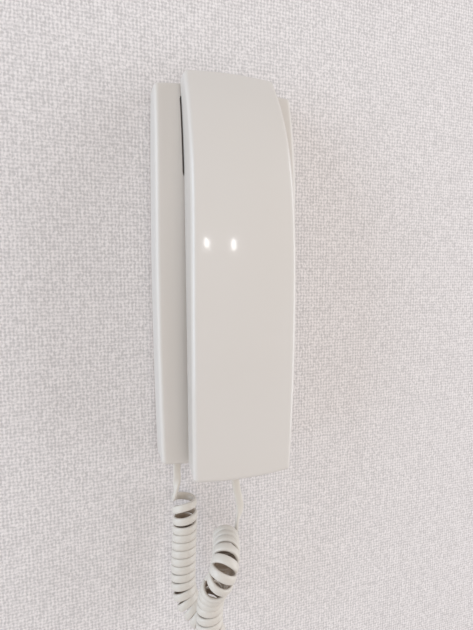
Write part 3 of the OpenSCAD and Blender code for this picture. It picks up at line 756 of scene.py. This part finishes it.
class STATION_OT_fittings(bpy.types.Operator):
    """Finishes for the pieces that keep the solids' own shapes"""
    bl_idname = "station.fittings"
    bl_label = "Fittings"

    def execute(self, context):
        handset, base = housing_finish("Handset plastic"), housing_finish("Base plastic")
        satin = dict(mottle_scale=60, ageing=0.3, grain_scale=2500, grain_height=0.000008)
        back = finish("Back plate plastic", (0.56, 0.54, 0.51), roughness=0.5, **satin)
        board = finish("Circuit board lacquer", (0.03, 0.16, 0.07), (0.05, 0.24, 0.11), roughness=0.3,
                       mottle_scale=260, ageing=0.8, grain_scale=900, grain_height=0.00003)
        black = finish("Black plastic", (0.02, 0.02, 0.022), roughness=0.45, **satin)
        core = finish("Iron core", (0.12, 0.115, 0.11), (0.2, 0.13, 0.08), metal=0.6, roughness=0.5, **satin)
        zinc = finish("Zinc plate", (0.62, 0.62, 0.6), (0.5, 0.47, 0.38), metal=1, roughness=0.3, **satin)
        can = finish("Capsule metal", (0.66, 0.65, 0.63), metal=1, roughness=0.25, **satin)
        sleeve = finish("Shrunk sleeve", (0.02, 0.03, 0.12), roughness=0.35, **satin)
        foam = finish("Foam", (0.05, 0.055, 0.055), roughness=0.95, mottle_scale=400, ageing=0.6,
                      grain_scale=1600, grain_height=0.0003)
        acetal = finish("Lever plastic", (0.7, 0.67, 0.6), roughness=0.35, **satin)
        pale = finish("Terminal plastic", (0.7, 0.7, 0.68), roughness=0.4, **satin)
        wanted = {
            "handset_rear": handset, "handset_cord_relief": handset, "base_cord_relief": base,
            "base_back": back, "circuit_board": board, "call_sounder": black, "hook_switch": black,
            "microphone_boot": black, "speech_transformer": core, "board_capacitors": sleeve,
            "terminal_block": pale, "terminal_screws": zinc, "board_screws": zinc, "case_screw": zinc,
            "handset_screws": zinc, "hook_pin": zinc, "hook_spring": zinc, "receiver_capsule": can,
            "microphone_capsule": can, "receiver_gasket": foam, "hook_lever": acetal,
        }
        for name, material in wanted.items():
            dress(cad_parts[name], material)
        return {"FINISHED"}


# ---- Stage ----

def sheet_object(name, corners, material):
    """A flat sheet through four corners, in metres."""
    obj = new_object(name, np.array(corners, float), [np.array([[0, 1, 2, 3]])])
    dress(obj, material)
    return obj


# The wall's paper: its threads' scale, their share beside the fibres, the half range that is drawn out to
# full contrast, and the tones at its two ends as shares of the wall's own
WEAVE_SCALE, WEAVE_SHARE, WEAVE_SPREAD = 160, 0.26, 0.27
WEAVE_DARK, WEAVE_LIGHT = 0.79, 1.17


def wall_finish(tone):
    """Pale woven wall paper, clear when it is looked at from behind.

    Fine noise, drawn out upwards, and two crossed sets of uneven threads add up to one height,
    which gives both the tone and the relief.
    """
    material = bpy.data.materials.new("Textured wall")
    material.use_nodes = True
    tree = material.node_tree
    add, wire = tree.nodes.new, tree.links.new
    shader, output = tree.nodes["Principled BSDF"], tree.nodes["Material Output"]
    where, stretch = add("ShaderNodeTexCoord"), add("ShaderNodeMapping")
    stretch.inputs["Scale"].default_value = (1, 1, 0.55)
    wire(where.outputs["Object"], stretch.inputs["Vector"])
    fibre = add("ShaderNodeTexNoise")
    fibre.inputs["Scale"].default_value = 1000
    fibre.inputs["Detail"].default_value = 2
    wire(stretch.outputs["Vector"], fibre.inputs["Vector"])
    weave = fibre.outputs["Fac"]
    for bands in ("X", "Z"):
        thread, laid = add("ShaderNodeTexWave"), add("ShaderNodeMath")
        thread.bands_direction = bands
        thread.inputs["Scale"].default_value = WEAVE_SCALE
        thread.inputs["Distortion"].default_value = 4
        thread.inputs["Detail"].default_value = 2
        thread.inputs["Detail Scale"].default_value = 3
        wire(where.outputs["Object"], thread.inputs["Vector"])
        laid.operation = "MULTIPLY_ADD"
        laid.inputs[1].default_value = WEAVE_SHARE
        wire(thread.outputs["Fac"], laid.inputs[0])
        wire(weave, laid.inputs[2])
        weave = laid.outputs[0]
    ramp = add("ShaderNodeMapRange")
    ramp.inputs["From Min"].default_value = 0.5 + WEAVE_SHARE - WEAVE_SPREAD
    ramp.inputs["From Max"].default_value = 0.5 + WEAVE_SHARE + WEAVE_SPREAD
    wire(weave, ramp.inputs["Value"])
    blend = add("ShaderNodeMix")
    blend.data_type = "RGBA"
    blend.inputs["A"].default_value = (*[WEAVE_DARK * c for c in tone], 1)
    blend.inputs["B"].default_value = (*[WEAVE_LIGHT * c for c in tone], 1)
    wire(ramp.outputs["Result"], blend.inputs["Factor"])
    wire(blend.outputs["Result"], shader.inputs["Base Color"])
    bump = add("ShaderNodeBump")
    bump.inputs["Distance"].default_value = 0.0002
    bump.inputs["Strength"].default_value = 0.5
    wire(weave, bump.inputs["Height"])
    wire(bump.outputs["Normal"], shader.inputs["Normal"])
    shader.inputs["Roughness"].default_value = 0.85
    clear, choose = add("ShaderNodeBsdfTransparent"), add("ShaderNodeMixShader")
    side = add("ShaderNodeNewGeometry")
    wire(side.outputs["Backfacing"], choose.inputs[0])
    wire(shader.outputs[0], choose.inputs[1])
    wire(clear.outputs[0], choose.inputs[2])
    wire(choose.outputs[0], output.inputs["Surface"])
    return material


# Lamps: name, place, width and height in metres, watts and tint
LAMPS = (
    ("window", (-1.5, -0.45, 0.25), (1.2, 1.7), 20.5, (0.68, 0.84, 1)),
    ("doorway", (1.5, -0.62, 0), (1, 2.4), 24, (0.86, 0.93, 1)),
    ("fill", (-0.4, -1.9, 0.1), (1.6, 1.6), 6.5, (1, 0.88, 0.7)),
    ("left tube", (0.13, -1.63, 0.2), (0.03, 0.08), 0.35, (1, 1, 1)),
    ("right tube", (0.37, -1.6, 0.19), (0.03, 0.08), 0.35, (1, 1, 1)),
)
LAMP_TARGET = (0, -0.03, 0)
ROOM_LIGHT, ROOM_TINT = 0.6, (1, 0.96, 0.945, 1)

# The wall's and the floor's half width, the floor's and the wall top's height, the floor's reach from the
# wall, and the wall's distance behind the base, in metres
STAGE_HALF, FLOOR_AT, WALL_TOP, FLOOR_REACH, WALL_GAP = 1.5, -0.8, 1.2, -3, 0.0005

# The camera: place in millimetres, the angles to the right, down and round, the lens and the sideways shift
CAMERA_PLACE = (-71.01, -273.48, 8.81)
CAMERA_TURN, CAMERA_TIP, CAMERA_ROLL = (math.radians(v) for v in (19.292, 6.242, 0.264))
CAMERA_LENS, CAMERA_SHIFT = 26.857, -0.0352


def lamp(name, at, size, watts, tint):
    """A rectangular area lamp that faces the object; size is its width and height in metres."""
    data = bpy.data.lights.new(name, "AREA")
    data.shape = "RECTANGLE"
    data.size, data.size_y = size
    data.energy = watts
    data.color = tint
    obj = bpy.data.objects.new(name, data)
    bpy.context.scene.collection.objects.link(obj)
    obj.location = at
    obj.rotation_euler = (Vector(LAMP_TARGET) - Vector(at)).to_track_quat("-Z", "Y").to_euler()
    return obj


def viewpoint():
    """The camera: its way ahead follows from the turn and the tip, and its sides then turn by the roll."""
    data = bpy.data.cameras.new("camera")
    data.sensor_width = 36
    data.lens = CAMERA_LENS
    data.clip_start = 0.01
    data.shift_x = CAMERA_SHIFT
    camera = bpy.data.objects.new("camera", data)
    bpy.context.scene.collection.objects.link(camera)
    level = math.cos(CAMERA_TIP)
    ahead = Vector((math.sin(CAMERA_TURN) * level, math.cos(CAMERA_TURN) * level, -math.sin(CAMERA_TIP)))
    right = Vector((math.cos(CAMERA_TURN), -math.sin(CAMERA_TURN), 0))
    up = right.cross(ahead)
    cos, sin = math.cos(CAMERA_ROLL), math.sin(CAMERA_ROLL)
    right, up = right * cos + up * sin, up * cos - right * sin
    place = Matrix((right, up, -ahead)).transposed().to_4x4()
    place.translation = Vector(CAMERA_PLACE) * MM
    camera.matrix_world = place
    return camera


class STATION_OT_stage(bpy.types.Operator):
    """The wall, the floor, the lamps and the camera"""
    bl_idname = "station.stage"
    bl_label = "Stage"

    def execute(self, context):
        scene = context.scene
        scene.view_settings.view_transform = "Standard"
        tone = scene.station_finishes.plaster
        left, right = (-STAGE_HALF, WALL_GAP), (STAGE_HALF, WALL_GAP)
        wall = sheet_object("wall", [(*left, FLOOR_AT), (*right, FLOOR_AT), (*right, WALL_TOP),
                                     (*left, WALL_TOP)], wall_finish(tone))
        wall.visible_diffuse = False
        wall.visible_shadow = False
        floor = finish("Pale floor", [0.95 * c for c in tone], roughness=0.7, mottle_scale=4, ageing=0.1)
        sheet_object("floor", [(*left, FLOOR_AT), (-STAGE_HALF, FLOOR_REACH, FLOOR_AT),
                               (STAGE_HALF, FLOOR_REACH, FLOOR_AT), (*right, FLOOR_AT)], floor)
        world = bpy.data.worlds.new("Soft room light")
        world.use_nodes = True
        sky = world.node_tree.nodes["Background"]
        sky.inputs["Color"].default_value = ROOM_TINT
        sky.inputs["Strength"].default_value = ROOM_LIGHT
        scene.world = world
        # The fill lamp only lifts the tones, so the gloss doesn't mirror it.
        for name, place_at, size, watts, tint in LAMPS:
            lamp(name, place_at, size, watts, tint).visible_glossy = name != "fill"
        scene.camera = viewpoint()
        return {"FINISHED"}


class STATION_PT_panel(bpy.types.Panel):
    """Sizes, colours and pieces of the station"""
    bl_label = "Wall interphone station"
    bl_space_type = "VIEW_3D"
    bl_region_type = "UI"
    bl_category = "Station"

    def draw(self, context):
        for key, kind in GROUPS.items():
            box = self.layout.box()
            for name in kind.__annotations__:
                box.prop(getattr(context.scene, key), name)
        for piece in OPERATORS:
            self.layout.operator(piece.bl_idname)


OPERATORS = (STATION_OT_stage, STATION_OT_cord, STATION_OT_cover, STATION_OT_handset, STATION_OT_fittings)
GROUPS = {
    "station_housings": StationHousings, "station_openings": StationOpenings, "station_cord": StationCord,
    "station_finishes": StationFinishes,
}


def register():
    """Makes the property groups, operators and panel known."""
    for name, group in GROUPS.items():
        bpy.utils.register_class(group)
        setattr(bpy.types.Scene, name, bpy.props.PointerProperty(type=group))
    for piece in OPERATORS + (STATION_PT_panel,):
        bpy.utils.register_class(piece)


def unregister():
    """Takes them away again."""
    for piece in (STATION_PT_panel,) + OPERATORS[::-1]:
        bpy.utils.unregister_class(piece)
    for name, group in GROUPS.items():
        delattr(bpy.types.Scene, name)
        bpy.utils.unregister_class(group)


def main():
    """Builds the pieces in order."""
    register()
    bpy.ops.station.stage()
    bpy.ops.station.cord()
    bpy.ops.station.cover()
    bpy.ops.station.handset()
    bpy.ops.station.fittings()


if __name__ == "__main__":
    main()
